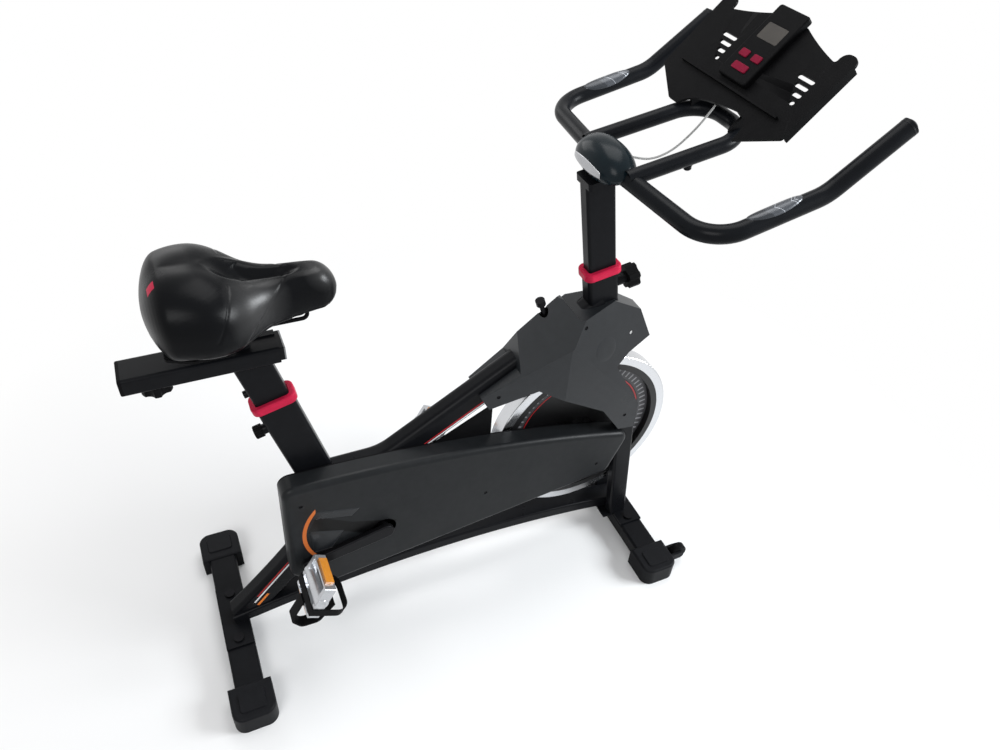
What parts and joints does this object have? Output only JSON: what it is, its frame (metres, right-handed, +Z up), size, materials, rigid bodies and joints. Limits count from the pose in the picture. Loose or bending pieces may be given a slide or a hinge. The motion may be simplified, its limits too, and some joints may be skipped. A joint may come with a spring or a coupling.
{
  "type": "exercise bike",
  "caption": "Indoor cycling bike with a belt-driven flywheel, tension brake, sliding saddle and handlebar posts, tray with console, and pedals with toe cages.",
  "frame": {"origin": "on the floor under the middle of the bike's outline", "axes": "+X towards the handlebar, +Y to the rider's left, +Z up"},
  "size_m": [1.2481, 0.5808, 1.2749],
  "materials": {
    "frame_paint": "satin black powder coat",
    "post_paint": "satin black powder coat",
    "slider_steel": "grey plated steel",
    "foot_plastic": "moulded black",
    "fastener_steel": "blackened steel",
    "wheel_plastic": "moulded black",
    "crank_steel": "black plated steel",
    "axle_steel": "zinc plated",
    "pulley_plastic": "moulded black",
    "pedal_alloy": "cast and brushed",
    "reflector_amber": "moulded amber",
    "cage_plastic": "moulded black",
    "flywheel_steel": "turned and chromed rim, black web",
    "belt_rubber": "ribbed black",
    "cover_plastic": "satin black moulding",
    "guard_plastic": "satin black moulding",
    "collar_red": "crimson moulding",
    "knob_plastic": "moulded black",
    "screw_steel": "zinc plated",
    "shoe_felt": "pressed felt",
    "saddle_steel": "black plated",
    "pan_plastic": "moulded black",
    "saddle_vinyl": "glossy black vinyl over foam",
    "bar_coat": "black dipped coat",
    "pad_grey": "grey metallised pads",
    "bar_cover_plastic": "blue-black moulding",
    "tray_plastic": "moulded black",
    "console_plastic": "moulded black",
    "lens_plastic": "grey display window",
    "button_red": "moulded red",
    "wire_rubber": "black jacket"
  },
  "bodies": {
    "frame": {"rear_stabilizer": "frame_paint", "front_stabilizer": "frame_paint", "frame_fasteners": "fastener_steel", "rear_feet": "foot_plastic", "front_feet": "foot_plastic", "lower_beam": "frame_paint", "seat_tube": "frame_paint", "rear_strut": "frame_paint", "head_tube": "frame_paint", "fork_leg_right": "frame_paint", "fork_leg_left": "frame_paint", "top_tube": "frame_paint", "crank_bearings": "axle_steel", "flywheel_axle": "axle_steel", "drive_belt": "belt_rubber", "belt_cover_outer": "cover_plastic", "belt_cover_inner": "cover_plastic", "guard_right": "guard_plastic", "guard_left": "guard_plastic", "post_collars": "collar_red"},
    "flywheel": {"flywheel": "flywheel_steel", "hub_bearings": "axle_steel", "flywheel_pulley": "pulley_plastic"},
    "crankset": {"crank_spindle": "crank_steel", "crank_pulley": "pulley_plastic", "crank_arm_right": "crank_steel", "crank_arm_left": "crank_steel", "pedal_axles": "axle_steel"},
    "right_pedal": {"pedal_right": "pedal_alloy", "pedal_right_reflectors": "reflector_amber", "pedal_right_toe_cage": "cage_plastic"},
    "left_pedal": {"pedal_left": "pedal_alloy", "pedal_left_reflectors": "reflector_amber", "pedal_left_toe_cage": "cage_plastic"},
    "seat_post": {"seat_post": "post_paint", "seat_rail": "post_paint", "rail_end_cap": "knob_plastic"},
    "saddle": {"saddle_slider": "slider_steel", "saddle_clamp": "saddle_steel", "saddle_pan": "pan_plastic", "saddle_cushion": "saddle_vinyl"},
    "rail_knob": {"rail_knob": "knob_plastic"},
    "bar_post": {"handlebar_post": "post_paint", "handlebar_cover": "bar_cover_plastic", "handlebar": "bar_coat", "loop_bar": "bar_coat", "sensor_pads": "pad_grey", "tray": "tray_plastic", "console_case": "console_plastic", "console_lens": "lens_plastic", "sensor_wire": "wire_rubber"},
    "head_knob": {"head_knob": "knob_plastic"},
    "seat_pin_knob": {"seat_pin_knob": "knob_plastic"},
    "tension_screw": {"tension_screw": "screw_steel"},
    "brake_shoe": {"brake_shoe": "shoe_felt"},
    "right_wheel": {"transport_wheel_right": "wheel_plastic"},
    "left_wheel": {"transport_wheel_left": "wheel_plastic"},
    "button_right": {"button_right": "button_red"},
    "button_left": {"button_left": "button_red"},
    "button_wide": {"button_wide": "button_red"}
  },
  "joints": [
    {"name": "flywheel_spin", "type": "hinge", "parent": "frame", "child": "flywheel", "pos_m": [0.275, 0, 0.367], "axis": [0, 1, 0], "continuous": true},
    {"name": "crank_spin", "type": "hinge", "parent": "frame", "child": "crankset", "pos_m": [-0.221, 0, 0.3], "axis": [0, 1, 0], "continuous": true},
    {"name": "right_pedal_spin", "type": "hinge", "parent": "crankset", "child": "right_pedal", "pos_m": [-0.38728, -0.135, 0.26465], "axis": [0, 1, 0], "continuous": true},
    {"name": "left_pedal_spin", "type": "hinge", "parent": "crankset", "child": "left_pedal", "pos_m": [-0.05471, 0.135, 0.33535], "axis": [0, 1, 0], "continuous": true},
    {"name": "seat_post_slide", "type": "slide", "parent": "frame", "child": "seat_post", "axis": [-0.2554, 0, 0.9668], "range_m": [-0.015, 0.15]},
    {"name": "saddle_slide", "type": "slide", "parent": "seat_post", "child": "saddle", "axis": [1, 0, 0], "range_m": [-0.018, 0.06]},
    {"name": "rail_knob_turn", "type": "hinge", "parent": "saddle", "child": "rail_knob", "pos_m": [-0.574, 0, 0.774], "axis": [0, 0, 1], "range_deg": [-180, 180]},
    {"name": "handlebar_slide", "type": "slide", "parent": "frame", "child": "bar_post", "axis": [-0.1822, 0, 0.9833], "range_m": [-0.05, 0.09]},
    {"name": "head_knob_turn", "type": "hinge", "parent": "frame", "child": "head_knob", "pos_m": [0.26838, 0, 0.76877], "axis": [0.9833, 0, 0.1822], "range_deg": [-180, 180]},
    {"name": "seat_pin_turn", "type": "hinge", "parent": "frame", "child": "seat_pin_knob", "pos_m": [-0.37916, 0, 0.61406], "axis": [-0.9668, 0, -0.2554], "range_deg": [-180, 180]},
    {"name": "tension_turn", "type": "hinge", "parent": "frame", "child": "tension_screw", "pos_m": [0.133, 0, 0.768], "axis": [0.3338, 0, -0.9426], "range_deg": [0, 960]},
    {"name": "shoe_press", "type": "slide", "parent": "frame", "child": "brake_shoe", "axis": [0.3338, 0, -0.9426], "range_m": [0, 0.004]},
    {"name": "right_wheel_spin", "type": "hinge", "parent": "frame", "child": "right_wheel", "pos_m": [0.498, -0.205, 0.034], "axis": [0, 1, 0], "continuous": true},
    {"name": "left_wheel_spin", "type": "hinge", "parent": "frame", "child": "left_wheel", "pos_m": [0.498, 0.205, 0.034], "axis": [0, 1, 0], "continuous": true},
    {"name": "button_right_press", "type": "slide", "parent": "bar_post", "child": "button_right", "axis": [0.7071, 0, -0.7071], "range_m": [0, 0.0012], "stiffness_N_per_m": 1200, "springref_m": -0.0006},
    {"name": "button_left_press", "type": "slide", "parent": "bar_post", "child": "button_left", "axis": [0.7071, 0, -0.7071], "range_m": [0, 0.0012], "stiffness_N_per_m": 1200, "springref_m": -0.0006},
    {"name": "button_wide_press", "type": "slide", "parent": "bar_post", "child": "button_wide", "axis": [0.7071, 0, -0.7071], "range_m": [0, 0.0012], "stiffness_N_per_m": 1200, "springref_m": -0.0006}
  ],
  "couplings": [
    {"joint": "crank_spin", "follows": "flywheel_spin", "ratio": 0.27368},
    {"joint": "shoe_press", "follows": "tension_turn", "m_per_rad": 0.000238}
  ]
}
